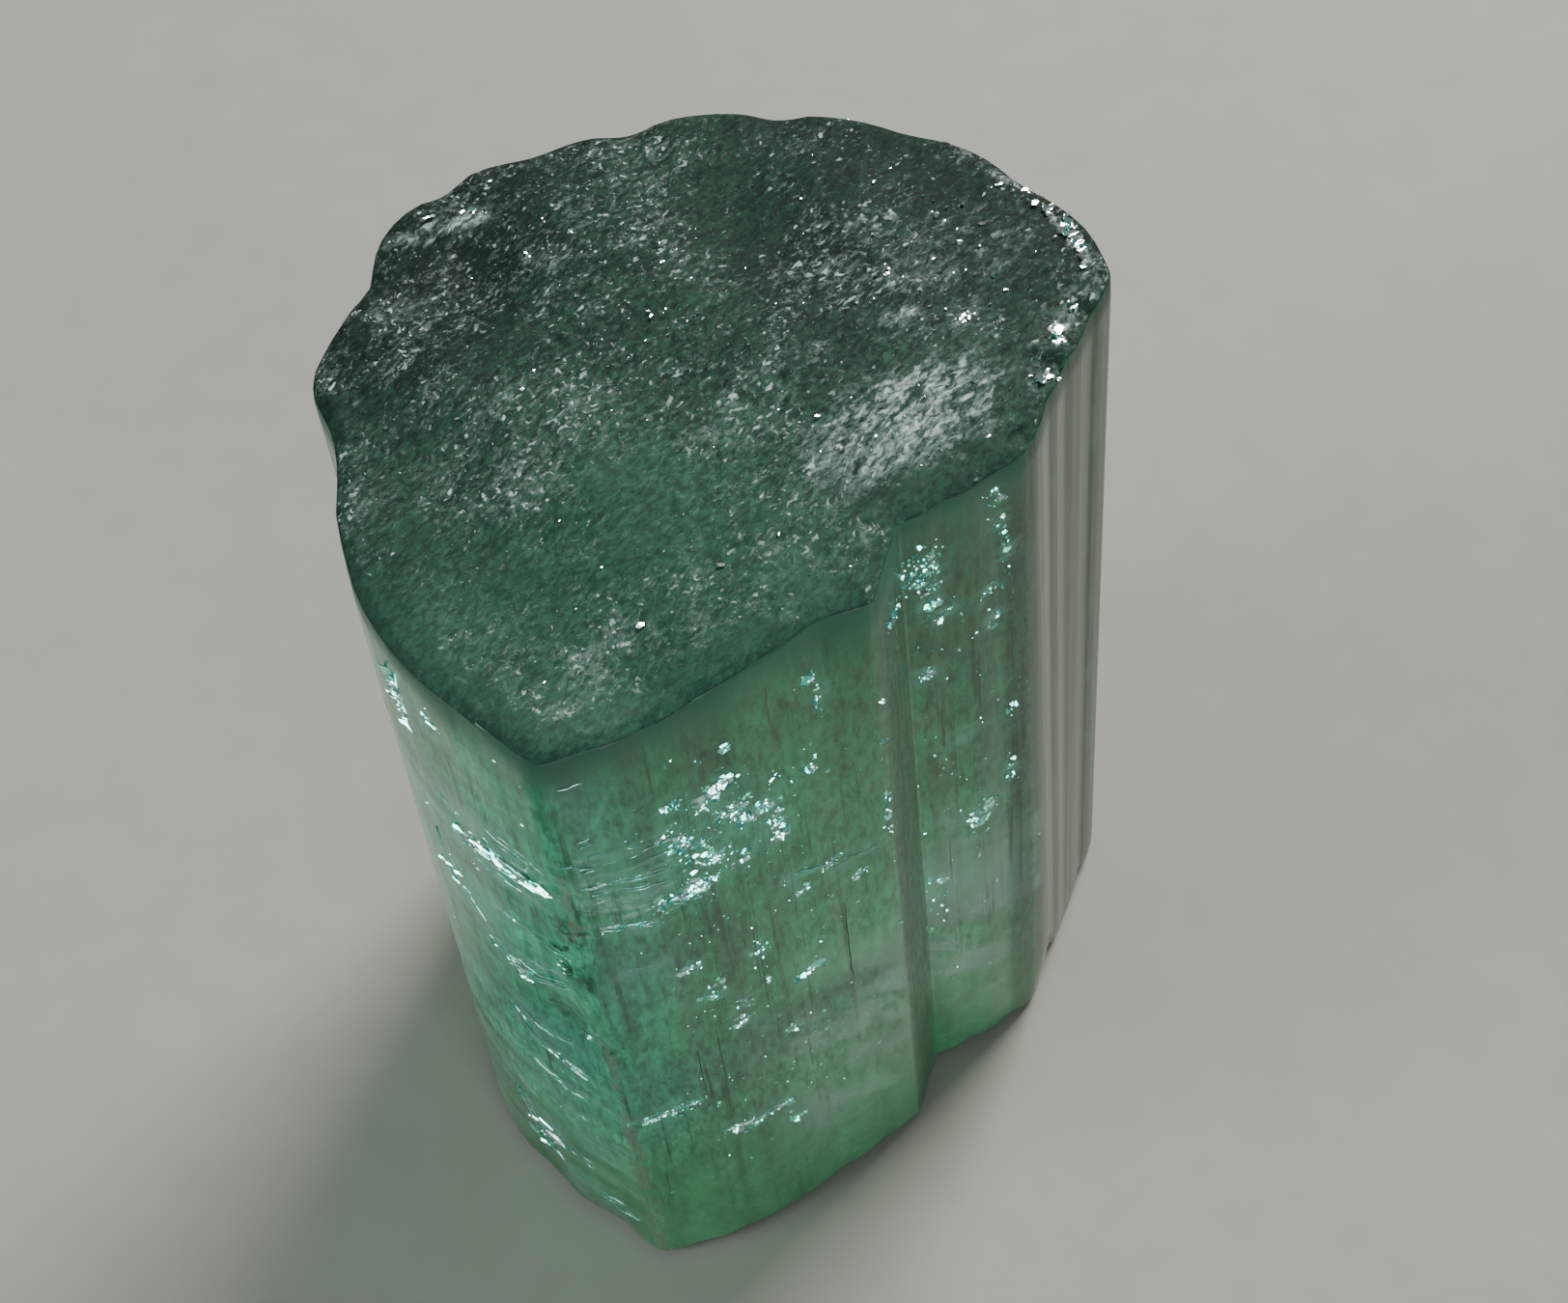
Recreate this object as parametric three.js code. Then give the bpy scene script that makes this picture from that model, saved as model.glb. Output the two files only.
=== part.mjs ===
// A tourmaline crystal: one short, stout prism, broken across at both ends and standing on its base.
// It has a flat front face with a full-height ledge, a flat right face, a rippled left face and a
// rounded, ribbed back. Millimetres, +Z up along the crystal's long axis, origin at the middle of the base.
import * as THREE from "three";

// ---- Driving dimensions ----
const HEIGHT = 14.2; // base to the rim of the top, at the front left edge
const MIDDLE = new THREE.Vector2(0.15, 0.35); // inside point that the end faces spread out from

// Corners and guide points of the cross-section at the rim, anticlockwise from above.
const FRONT_LEFT_EDGE = [-2.65, -4.96];
const LEDGE_LIP = [1.54, -3.2];
const LEDGE_FOOT = [1.93, -2.22];
const FRONT_RIGHT_EDGE = [3.64, -1.3];
const RIGHT_CORNER = [5.18, 1.4];
const LEFT_BULGE = [-5.07, 1.2];

// Each stretch of the outline: its guide points, how many columns of faces it takes, its grooves, and its
// flare. Grooves are sharp, at these shares of the stretch, and run the full height with a rounded rib
// between each two. The flare is how far the foot stands out past the rim at the start, middle and end.
const STRETCHES = [
  {
    name: "front face",
    guides: [FRONT_LEFT_EDGE, [-1.4, -4.6], [0.05, -3.9], LEDGE_LIP],
    columns: 24,
    grooves: [0, 0.13, 0.3, 0.46, 0.67, 0.84, 1],
    ribDepth: 0.035,
    flare: [0.06, 0.24, 0.08],
  },
  {
    name: "step of the ledge",
    guides: [LEDGE_LIP, [1.74, -2.62], LEDGE_FOOT],
    columns: 5,
    grooves: [],
    ribDepth: 0,
    flare: [0.08, 0.1, 0.12],
  },
  {
    name: "front face behind the ledge",
    guides: [LEDGE_FOOT, [2.76, -1.82], FRONT_RIGHT_EDGE],
    columns: 10,
    grooves: [0, 0.3, 0.7, 1],
    ribDepth: 0.04,
    flare: [0.12, 0.2, 0.2],
  },
  {
    name: "right face",
    guides: [FRONT_RIGHT_EDGE, [4.1, -0.42], [4.68, 0.6], RIGHT_CORNER],
    columns: 16,
    grooves: [0, 0.25, 0.44, 0.75, 1],
    ribDepth: 0.045,
    flare: [0.2, 0.12, 0.0],
  },
  {
    name: "rounded back",
    guides: [
      RIGHT_CORNER,
      [4.92, 2.1],
      [4.3, 3.05],
      [3.5, 3.92],
      [2.0, 4.7],
      [0.2, 5.05],
      [-1.6, 4.9],
      [-3.05, 4.46],
      [-4.03, 3.76],
      [-4.54, 2.5],
      [-4.9, 1.75],
      [-5.05, 1.4],
      LEFT_BULGE,
    ],
    columns: 54,
    grooves: [0, 0.14, 0.27, 0.4, 0.55, 0.64, 0.74, 0.87, 1.13],
    ribDepth: 0.09,
    flare: [0.0, 0.08, 0.32],
  },
  {
    name: "left face",
    guides: [
      LEFT_BULGE,
      [-5.05, 1.0],
      [-4.82, 0.3],
      [-4.78, -1.0],
      [-4.5, -2.35],
      [-3.72, -3.72],
      FRONT_LEFT_EDGE,
    ],
    columns: 27,
    grooves: [],
    ribDepth: 0,
    flare: [0.32, 0.42, 0.06],
  },
];

// The worn arris round the top and the broken one round the base: how tall, and how far set back.
const RIM_ROUNDING = { height: 0.16, setBack: 0.16 };
const FOOT_ROUNDING = { height: 0.16, setBack: 0.13 };

// Slow waves in the height of the rim and of the foot, and how far the foot rises clear of the ground.
const RIM_WAVE = 0.04;
const FOOT_WAVE = 0.04;
const FOOT_CLEAR = 0.06;

// Ripples that sweep down the left face. They grow over a stretch from startX, and die out over another
// before the front left edge.
const RIPPLES = {
  depth: 0.07,
  spacing: 1.75,
  sweep: 1.1, // how far a ripple falls for each millimetre towards the edge
  startX: -4.9,
  growOver: 1.4,
  endX: -2.5,
  fadeOver: 0.5,
};

// Chips and pits: a place on the surface, how far it reaches, and how deep it bites.
const WALL_CHIPS = [
  { at: [-2.68, -4.92, 10.4], reach: 0.55, depth: 0.2 },
  { at: [-2.95, -4.6, 7.3], reach: 0.75, depth: 0.22 },
  { at: [-2.75, -4.85, 4.4], reach: 0.5, depth: 0.12 },
  { at: [-4.35, -3.4, 0.5], reach: 0.9, depth: 0.2 },
  { at: [-3.4, -4.55, 0.3], reach: 0.6, depth: 0.16 },
  { at: [3.95, -0.9, 0.2], reach: 0.8, depth: 0.12 },
  { at: [1.0, -3.45, 14.2], reach: 1.0, depth: 0.14 },
  { at: [2.1, 4.8, 9.2], reach: 1.2, depth: 0.16 },
  { at: [-4.1, 3.9, 3.6], reach: 1.5, depth: 0.2 },
];
const RIM_CHIPS = [
  { at: [-4.78, -0.36], reach: 0.7, depth: 0.12 },
  { at: [-4.4, 2.85], reach: 0.5, depth: 0.1 },
  { at: [-3.25, 4.25], reach: 0.45, depth: 0.1 },
  { at: [-0.75, 4.9], reach: 0.5, depth: 0.1 },
  { at: [1.23, 4.82], reach: 0.3, depth: 0.12 },
  { at: [4.62, 0.8], reach: 0.35, depth: 0.12 },
  { at: [4.33, 0.4], reach: 0.35, depth: 0.2 },
  { at: [4.08, -0.05], reach: 0.35, depth: 0.22 },
  { at: [1.3, -3.2], reach: 0.7, depth: 0.08 },
];

// The broken top: a low dome with raised places (height over 0) and hollows (height under 0).
const DOME_HEIGHT = 0.2;
const DOME_REACH = 5;
const TOP_RELIEF = [
  { at: [-3.1, 2.7], reach: 1.5, height: -0.26 }, // dark dish at the back left
  { at: [-3.1, 3.7], reach: 0.8, height: 0.16 }, // ridge behind the dish
  { at: [4.3, 2.2], reach: 0.9, height: 0.18 }, // ridge along the right of the rim
  { at: [2.3, -0.5], reach: 1.5, height: 0.1 }, // frosted swelling
  { at: [3.6, 0.9], reach: 1.1, height: -0.12 },
  { at: [0.6, 2.6], reach: 1.7, height: -0.12 },
  { at: [-1.2, 0.6], reach: 1.4, height: 0.08 },
  { at: [-3.6, -0.6], reach: 1.3, height: -0.1 },
  { at: [-1.5, -3.0], reach: 1.4, height: 0.06 },
];
const TOP_WAVE = 0.035; // height of the low waves all over the break

// Rows of faces up the wall: most are even, and a few lie close to each arris, at these shares.
const EVEN_ROWS = 16;
const EVEN_FROM = 0.05;
const ARRIS_ROWS = [0, 0.006, 0.02];

// Rings of the end faces, as shares of the way out from the middle.
const BASE_RINGS = [0.84, 0.94]; // the base lies flat inside the first
const TOP_OUTER_RINGS = [0.97, 0.92]; // as many columns as the wall
// Further in, half as many columns.
const TOP_INNER_RINGS = [0.85, 0.78, 0.71, 0.64, 0.57, 0.5, 0.43, 0.36, 0.29, 0.22, 0.15, 0.08];
const TOP_SETTLES = 0.3; // share of the way in over which the top leaves the rim's height for its own

// ---- Helpers ----
const smooth = (t) => THREE.MathUtils.smoothstep(t, 0, 1);

// A round swelling: 1 in the middle, falling smoothly to 0 at its reach.
const swelling = (distance, reach) => (distance < reach ? smooth(1 - distance / reach) : 0);

// The value at share t of a parabola through three evenly spaced values.
function throughThree([start, middle, end], t) {
  return start * (1 - t) * (1 - 2 * t) + 4 * middle * t * (1 - t) + end * t * (2 * t - 1);
}

// Rounded ribs between sharp grooves: how far the face lies back at share t of its stretch.
function ribSetBack({ grooves, ribDepth }, t) {
  const next = grooves.findIndex((groove) => groove > t);
  if (next < 1) return 0;
  const across = (t - grooves[next - 1]) / (grooves[next] - grooves[next - 1]);
  return ribDepth * (1 - Math.sin(Math.PI * across));
}

// A quarter round at an arris: how far the wall lies back at this distance from it.
function roundingSetBack({ height, setBack }, distance) {
  const share = Math.min(1, distance / height);
  return setBack * (1 - Math.sqrt(1 - (1 - share) ** 2));
}

// ---- The cross-section: points round the rim, each with its outward normal ----
function outline() {
  const points = [];
  for (const stretch of STRETCHES) {
    const guides = stretch.guides.map(([x, y]) => new THREE.Vector3(x, y, 0));
    const curve = new THREE.CatmullRomCurve3(guides, false, "centripetal");
    for (let i = 0; i < stretch.columns; i++) {
      const t = i / stretch.columns;
      const { x, y } = curve.getPointAt(t);
      const along = curve.getTangentAt(t);
      const setBack = ribSetBack(stretch, t);
      points.push({
        x: x - along.y * setBack,
        y: y + along.x * setBack,
        stretch: stretch.name,
        flare: throughThree(stretch.flare, t),
      });
    }
  }
  const count = points.length;
  points.forEach((point, i) => {
    const before = points[(i + count - 1) % count];
    const after = points[(i + 1) % count];
    const out = new THREE.Vector2(after.y - before.y, before.x - after.x).normalize();
    point.outX = out.x;
    point.outY = out.y;
  });
  return points;
}

// ---- The two broken ends ----
function topHeight(x, y) {
  const fromMiddle = Math.hypot(x - MIDDLE.x, y - MIDDLE.y) / DOME_REACH;
  let z = HEIGHT + DOME_HEIGHT * (1 - Math.min(1, fromMiddle ** 3));
  for (const { at, reach, height } of TOP_RELIEF) {
    z += height * swelling(Math.hypot(x - at[0], y - at[1]), reach);
  }
  return z + TOP_WAVE * (Math.sin(1.9 * x + 1.3 * y) + Math.sin(2.7 * y - 1.1 * x + 1));
}

function rimHeight({ x, y }) {
  let z = HEIGHT - RIM_WAVE * Math.sin(1.3 * x + 2.1 * y);
  for (const { at, reach, depth } of RIM_CHIPS) {
    z -= depth * swelling(Math.hypot(x - at[0], y - at[1]), reach);
  }
  return z;
}

const footHeight = ({ x, y }) => FOOT_CLEAR + FOOT_WAVE * Math.sin(1.7 * x + 0.6) * Math.sin(1.9 * y + 2);

// ---- The wall ----
function ripples(x, z, stretch) {
  if (stretch !== "left face") return 0;
  const { depth, spacing, sweep, startX, growOver, endX, fadeOver } = RIPPLES;
  const towardsEdge = smooth((x - startX) / growOver) * smooth((endX - x) / fadeOver);
  const phase = (z + sweep * (x - startX)) / spacing;
  return depth * towardsEdge * (1 - Math.abs(Math.sin(Math.PI * phase)));
}

function wallPoint(point, level) {
  const foot = footHeight(point);
  const rim = rimHeight(point);
  const z = foot + (rim - foot) * level;
  let setBack = ripples(point.x, z, point.stretch) - point.flare * (1 - level);
  for (const { at, reach, depth } of WALL_CHIPS) {
    setBack += depth * swelling(Math.hypot(point.x - at[0], point.y - at[1], z - at[2]), reach);
  }
  setBack += roundingSetBack(RIM_ROUNDING, rim - z) + roundingSetBack(FOOT_ROUNDING, z - foot);
  return [point.x - point.outX * setBack, point.y - point.outY * setBack, z];
}

// Share of the height of each row, from the foot to the rim.
function levels() {
  const even = [];
  for (let i = 0; i <= EVEN_ROWS; i++) even.push(EVEN_FROM + ((1 - 2 * EVEN_FROM) * i) / EVEN_ROWS);
  return [...ARRIS_ROWS, ...even, ...ARRIS_ROWS.map((share) => 1 - share).reverse()];
}

// ---- One closed mesh: base, wall and top, row by row ----
class RowMesh {
  constructor(columns) {
    this.columns = columns;
    this.positions = [];
    this.faces = [];
    this.rows = [];
  }

  addPoint(position) {
    this.positions.push(...position);
    return this.positions.length / 3 - 1;
  }

  // A row holds a point for each column, or for every second column where the step is 2.
  addRow(points, step = 1) {
    const kept = points.filter((_, i) => i % step === 0).map((point) => this.addPoint(point));
    const row = (column) => kept[(column % this.columns) / step];
    row.step = step;
    this.rows.push(row);
  }

  // Faces between two rows, two columns at a time so that a full row can meet a half row.
  joinRows(low, high) {
    for (let i = 0; i < this.columns; i += 2) {
      if (low.step === 1 && high.step === 1) {
        this.addQuad(low(i), low(i + 1), high(i + 1), high(i));
        this.addQuad(low(i + 1), low(i + 2), high(i + 2), high(i + 1));
      } else if (high.step === 2 && low.step === 1) {
        this.faces.push(low(i), low(i + 1), high(i));
        this.faces.push(low(i + 1), high(i + 2), high(i));
        this.faces.push(low(i + 1), low(i + 2), high(i + 2));
      } else {
        this.addQuad(low(i), low(i + 2), high(i + 2), high(i));
      }
    }
  }

  addQuad(a, b, c, d) {
    this.faces.push(a, b, c, a, c, d);
  }

  close(baseMiddle, topMiddle) {
    const below = this.addPoint(baseMiddle);
    const above = this.addPoint(topMiddle);
    const first = this.rows[0];
    const last = this.rows[this.rows.length - 1];
    for (let i = 0; i < this.columns; i += first.step) {
      this.faces.push(below, first(i + first.step), first(i));
    }
    for (let i = 0; i < this.columns; i += last.step) {
      this.faces.push(above, last(i), last(i + last.step));
    }
    for (let r = 0; r + 1 < this.rows.length; r++) this.joinRows(this.rows[r], this.rows[r + 1]);
  }

  geometry() {
    const made = new THREE.BufferGeometry();
    made.setAttribute("position", new THREE.Float32BufferAttribute(this.positions, 3));
    made.setIndex(this.faces);
    made.computeVertexNormals();
    return made;
  }
}

const towardsMiddle = ([x, y], share) => [
  MIDDLE.x + (x - MIDDLE.x) * share,
  MIDDLE.y + (y - MIDDLE.y) * share,
];

function basePoint(foot, share) {
  const rise = smooth((share - BASE_RINGS[0]) / (1 - BASE_RINGS[0]));
  return [...towardsMiddle(foot, share), foot[2] * rise];
}

function topPoint(rim, share) {
  const [x, y] = towardsMiddle(rim, share);
  const inside = Math.sqrt(smooth((1 - share) / TOP_SETTLES));
  return [x, y, rim[2] + (topHeight(x, y) - rim[2]) * inside];
}

function crystalGeometry() {
  const points = outline();
  const mesh = new RowMesh(points.length);
  const wall = levels().map((level) => points.map((point) => wallPoint(point, level)));
  const foot = wall[0];
  const rim = wall[wall.length - 1];
  for (const share of BASE_RINGS) mesh.addRow(foot.map((point) => basePoint(point, share)));
  for (const row of wall) mesh.addRow(row);
  for (const share of TOP_OUTER_RINGS) mesh.addRow(rim.map((point) => topPoint(point, share)));
  for (const share of TOP_INNER_RINGS) mesh.addRow(rim.map((point) => topPoint(point, share)), 2);
  mesh.close([MIDDLE.x, MIDDLE.y, 0], [MIDDLE.x, MIDDLE.y, topHeight(MIDDLE.x, MIDDLE.y)]);
  return centredOnBase(mesh.geometry());
}

// The outline is drawn about the crystal's axis; the origin goes to the middle of its box, on the ground.
function centredOnBase(geometry) {
  geometry.computeBoundingBox();
  const { min, max } = geometry.boundingBox;
  return geometry.translate(-(min.x + max.x) / 2, -(min.y + max.y) / 2, -min.z);
}

const tourmalineGreen = new THREE.MeshStandardMaterial({
  color: 0x4a8068,
  roughness: 0.3,
  metalness: 0,
});

const crystal = new THREE.Mesh(crystalGeometry(), tourmalineGreen);
crystal.name = "tourmaline_crystal";

const part = new THREE.Group();
part.add(crystal);

export default part;
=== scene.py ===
"""A broken tourmaline crystal standing on a pale floor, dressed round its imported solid."""

import math
import random

import bmesh
import bpy
import numpy as np
from mathutils import Euler, Matrix, Vector
from mathutils.bvhtree import BVHTree
from mathutils.kdtree import KDTree


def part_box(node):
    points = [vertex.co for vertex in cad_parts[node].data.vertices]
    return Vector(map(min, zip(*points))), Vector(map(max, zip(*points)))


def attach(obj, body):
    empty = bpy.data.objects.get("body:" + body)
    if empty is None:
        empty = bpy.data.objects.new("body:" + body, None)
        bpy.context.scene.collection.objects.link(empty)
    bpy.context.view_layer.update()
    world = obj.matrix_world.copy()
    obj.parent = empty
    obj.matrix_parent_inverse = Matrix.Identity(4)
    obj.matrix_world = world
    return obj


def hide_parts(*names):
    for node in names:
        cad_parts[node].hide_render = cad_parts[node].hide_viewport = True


MM = 0.001  # the scene is in metres, and sizes below are in millimetres unless they say otherwise

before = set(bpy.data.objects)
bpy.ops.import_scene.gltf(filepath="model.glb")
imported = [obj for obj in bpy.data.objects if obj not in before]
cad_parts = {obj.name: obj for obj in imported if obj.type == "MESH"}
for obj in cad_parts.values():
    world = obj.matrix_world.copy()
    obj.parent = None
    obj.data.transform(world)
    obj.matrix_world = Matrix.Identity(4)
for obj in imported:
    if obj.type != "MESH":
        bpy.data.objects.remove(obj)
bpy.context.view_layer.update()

LOW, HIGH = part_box("tourmaline_crystal")
CENTRE = (LOW + HIGH) / 2
RIM_LOWEST = 12.6  # the whole rim and the break inside it lie above this height
WELD = 0.0005  # points closer than this are one point


# ---- Camera ----

# Where the camera stands, how far its view is tipped up from straight down, how far it is rolled, and its
# lens in millimetres.
CAMERA_PLACE = (0.53, -21.7, 40.05)
CAMERA_TIP = 34.6
CAMERA_ROLL = -7.46
CAMERA_LENS = 62.8


def add_camera():
    """Looks down on the crystal at 55 degrees, a little rolled, from under three crystal lengths away."""
    data = bpy.data.cameras.new("camera")
    data.lens = CAMERA_LENS
    data.clip_start = 1 * MM
    data.clip_end = 5
    camera = bpy.data.objects.new("camera", data)
    bpy.context.scene.collection.objects.link(camera)
    camera.location = Vector(CAMERA_PLACE) * MM
    tip = Matrix.Rotation(math.radians(CAMERA_TIP), 3, "X")
    roll = Matrix.Rotation(math.radians(CAMERA_ROLL), 3, "Z")
    camera.rotation_euler = (tip @ roll).to_euler()
    bpy.context.scene.camera = camera


# ---- Light and floor ----

FLOOR_WIDTH = 1600
FLOOR_GAP = 0.02  # the floor lies this far under the base, so that the two never share a plane


def add_lamp(name, place, size, power, colour):
    """A soft box at a place in millimetres, aimed at the middle of the crystal. Its power is in watts."""
    data = bpy.data.lights.new(name, "AREA")
    data.shape = "RECTANGLE"
    data.size, data.size_y = size[0] * MM, size[1] * MM
    data.energy = power
    data.color = colour
    lamp = bpy.data.objects.new(name, data)
    bpy.context.scene.collection.objects.link(lamp)
    lamp.location = Vector(place) * MM
    lamp.rotation_euler = (CENTRE - lamp.location).to_track_quat("-Z", "Y").to_euler()


def add_lights():
    add_lamp("key soft box", (72, 88, 125), (55, 55), 0.33, (1.0, 0.99, 0.96))
    add_lamp("front fill", (45, -115, 45), (44, 32), 0.04, (0.88, 1.0, 0.98))
    add_lamp("left strip", (-105, -30, 60), (50, 34), 0.057, (0.84, 1.0, 0.95))
    world = bpy.data.worlds.new("studio")
    bpy.context.scene.world = world
    world.use_nodes = True
    backdrop = world.node_tree.nodes["Background"]
    backdrop.inputs["Color"].default_value = (0.86, 0.88, 0.9, 1)
    backdrop.inputs["Strength"].default_value = 0.2


def add_floor():
    bpy.ops.object.select_all(action="DESELECT")
    bpy.ops.mesh.primitive_plane_add(size=FLOOR_WIDTH * MM, location=(0, 0, -FLOOR_GAP * MM))
    floor = bpy.context.object
    floor.name = "floor"
    sheet = NodeSheet("pale floor")
    mottle = sheet.noise(sheet.place(), scale=900, detail=3)
    base = sheet.mix_colours(mottle, (0.385, 0.385, 0.335), (0.43, 0.43, 0.38))
    sheet.finish(base=base, roughness=0.9)
    floor.data.materials.append(sheet.material)


# ---- Materials ----


class NodeSheet:
    """A material's node tree, with one short method for each kind of node that is used here."""

    def __init__(self, name):
        self.material = bpy.data.materials.new(name)
        self.material.use_nodes = True
        self.tree = self.material.node_tree
        self.tree.nodes.clear()
        self.layers = 0

    def node(self, kind, **settings):
        made = self.tree.nodes.new("ShaderNode" + kind)
        for key, value in settings.items():
            setattr(made, key, value)
        return made

    def feed(self, socket, value):
        if isinstance(value, bpy.types.NodeSocket):
            self.tree.links.new(value, socket)
        elif isinstance(value, tuple) and len(value) == 3 and socket.type == "RGBA":
            socket.default_value = (*value, 1)
        else:
            socket.default_value = value

    def place(self):
        return self.node("TexCoord").outputs["Object"]

    def attribute(self, name):
        return self.node("Attribute", attribute_name=name).outputs["Fac"]

    def normal(self):
        return self.node("NewGeometry").outputs["Normal"]

    def stretched(self, vector, scale, turn=(0, 0, 0)):
        """Coordinates along axes that are turned by these angles, each multiplied by its own scale."""
        made = self.node("Mapping", vector_type="TEXTURE")
        self.feed(made.inputs["Vector"], vector)
        made.inputs["Rotation"].default_value = [math.radians(angle) for angle in turn]
        made.inputs["Scale"].default_value = [1 / share for share in scale]
        return made.outputs["Vector"]

    def noise(self, vector, scale=1.0, detail=2, roughness=0.5, output="Fac"):
        """Each layer is read from a part of the noise of its own, so that no two layers line up."""
        self.layers += 1
        made = self.node("TexNoise")
        away = (0.013 * self.layers, 0.017 * self.layers, 0.011 * self.layers)
        self.feed(made.inputs["Vector"], self.vector_math("ADD", vector, away))
        made.inputs["Scale"].default_value = scale
        made.inputs["Detail"].default_value = detail
        made.inputs["Roughness"].default_value = roughness
        return made.outputs[output]

    def stray(self, vector, scale):
        """A direction and length that differ from spot to spot, by up to a half along each axis."""
        colour = self.noise(vector, scale=scale, output="Color")
        return self.vector_math("SUBTRACT", colour, (0.5, 0.5, 0.5))

    def math(self, operation, *values, clamp=False):
        made = self.node("Math", operation=operation, use_clamp=clamp)
        for socket, value in zip(made.inputs, values):
            self.feed(socket, value)
        return made.outputs[0]

    def times(self, first, second):
        return self.math("MULTIPLY", first, second)

    def plus(self, first, second):
        return self.math("ADD", first, second)

    def most(self, first, second):
        return self.math("MAXIMUM", first, second)

    def rest(self, share):
        return self.math("SUBTRACT", 1.0, share)

    def vector_math(self, operation, *values):
        made = self.node("VectorMath", operation=operation)
        for socket, value in zip(made.inputs, values):
            self.feed(socket, value)
        return made.outputs[0]

    def scaled(self, vector, share):
        made = self.node("VectorMath", operation="SCALE")
        self.feed(made.inputs[0], vector)
        self.feed(made.inputs["Scale"], share)
        return made.outputs[0]

    def vector_parts(self, vector):
        made = self.node("SeparateXYZ")
        self.feed(made.inputs[0], vector)
        return made.outputs

    def ramp(self, value, low, high, start=0.0, end=1.0):
        """Runs smoothly from start to end as the value goes from low to high, and stays there."""
        made = self.node("MapRange", interpolation_type="SMOOTHSTEP")
        for name, number in (
            ("Value", value),
            ("From Min", low),
            ("From Max", high),
            ("To Min", start),
            ("To Max", end),
        ):
            self.feed(made.inputs[name], number)
        return made.outputs["Result"]

    def mix_colours(self, share, first, second):
        made = self.node("Mix", data_type="RGBA", blend_type="MIX")
        self.feed(made.inputs[0], share)
        self.feed(made.inputs[6], first)
        self.feed(made.inputs[7], second)
        return made.outputs[2]

    def bump(self, height, strength, distance, normal=None):
        made = self.node("Bump")
        self.feed(made.inputs["Height"], height)
        made.inputs["Strength"].default_value = strength
        made.inputs["Distance"].default_value = distance
        if normal is not None:
            self.feed(made.inputs["Normal"], normal)
        return made.outputs["Normal"]

    def tilted(self, tilt):
        """The surface's own normal, leaned by a tilt."""
        return self.vector_math("NORMALIZE", self.vector_math("ADD", self.normal(), tilt))

    def finish(
        self, base, roughness, normal=None, metallic=0.0, clear=0.0, ior=1.5, gloss=0.5, depths=None
    ):
        shader = self.node("BsdfPrincipled")
        self.feed(shader.inputs["Base Color"], base)
        self.feed(shader.inputs["Roughness"], roughness)
        shader.inputs["Metallic"].default_value = metallic
        shader.inputs["Transmission Weight"].default_value = clear
        shader.inputs["IOR"].default_value = ior
        shader.inputs["Specular IOR Level"].default_value = gloss
        if normal is not None:
            self.feed(shader.inputs["Normal"], normal)
        out = self.node("OutputMaterial")
        self.tree.links.new(shader.outputs["BSDF"], out.inputs["Surface"])
        if depths is not None:
            colour, density = depths
            soak = self.node("VolumeAbsorption")
            soak.inputs["Color"].default_value = (*colour, 1)
            soak.inputs["Density"].default_value = density
            self.tree.links.new(soak.outputs["Volume"], out.inputs["Volume"])


REFRACTION = 1.63  # tourmaline's own
SOAK = ((0.0, 0.80, 0.56), 190)  # what the crystal takes from the light, and how strongly


def clouds_of_colour(sheet, place, z, left, right):
    """Soft clouds of green drawn out along the length: bluer on the left and by the big swarm of cracks, a
    lighter green painted on the left face for the light that comes out through it, yellower towards the
    foot, and a painted shade that darkens the right face."""
    clouds = sheet.noise(sheet.stretched(place, (420, 420, 110)), detail=3)
    cloudy = sheet.ramp(clouds, 0.35, 0.65)
    body = sheet.mix_colours(cloudy, (0.08, 0.45, 0.25), (0.13, 0.57, 0.34))
    bluer = sheet.mix_colours(cloudy, (0.10, 0.61, 0.38), (0.17, 0.73, 0.50))
    yellower = sheet.mix_colours(cloudy, (0.15, 0.59, 0.27), (0.22, 0.73, 0.39))
    body = sheet.mix_colours(sheet.attribute("bluer"), body, bluer)
    # A lighter green on the left face: painted light.
    body = sheet.mix_colours(left, body, (0.08, 0.73, 0.45))
    body = sheet.mix_colours(sheet.ramp(z, 6.5 * MM, 1.5 * MM, 0.0, 0.85), body, yellower)
    # The right face darkened: painted shade.
    return sheet.mix_colours(right, body, (0.042, 0.13, 0.08))


def sheen_streaks_and_casts(sheet, place, left, body):
    """Pale streaks that run across the left face, painted sheen for the light that comes out through it, an
    olive cast in spots high on the front, and short level dashes by the big swarm of cracks."""
    # Pale streaks across the left face: painted sheen.
    left_sheen_streaks = sheet.noise(sheet.stretched(place, (420, 420, 5000)), detail=5, roughness=0.7)
    left_sheen_streaks = sheet.times(sheet.ramp(left_sheen_streaks, 0.53, 0.72), sheet.times(left, 0.7))
    body = sheet.mix_colours(left_sheen_streaks, body, (0.62, 0.92, 0.80))
    cast = sheet.noise(sheet.stretched(place, (1500, 1500, 1100)), detail=5, roughness=0.7)
    olive = sheet.times(sheet.ramp(cast, 0.48, 0.66), sheet.attribute("olive"))
    body = sheet.mix_colours(olive, body, (0.20, 0.38, 0.22))
    dashes = sheet.noise(sheet.stretched(place, (1100, 1100, 9000), (0, 8, 0)), detail=3, roughness=0.6)
    dashes = sheet.times(sheet.ramp(dashes, 0.50, 0.66), sheet.attribute("dashed"))
    return sheet.mix_colours(dashes, body, (0.50, 1.0, 0.84))


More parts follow.
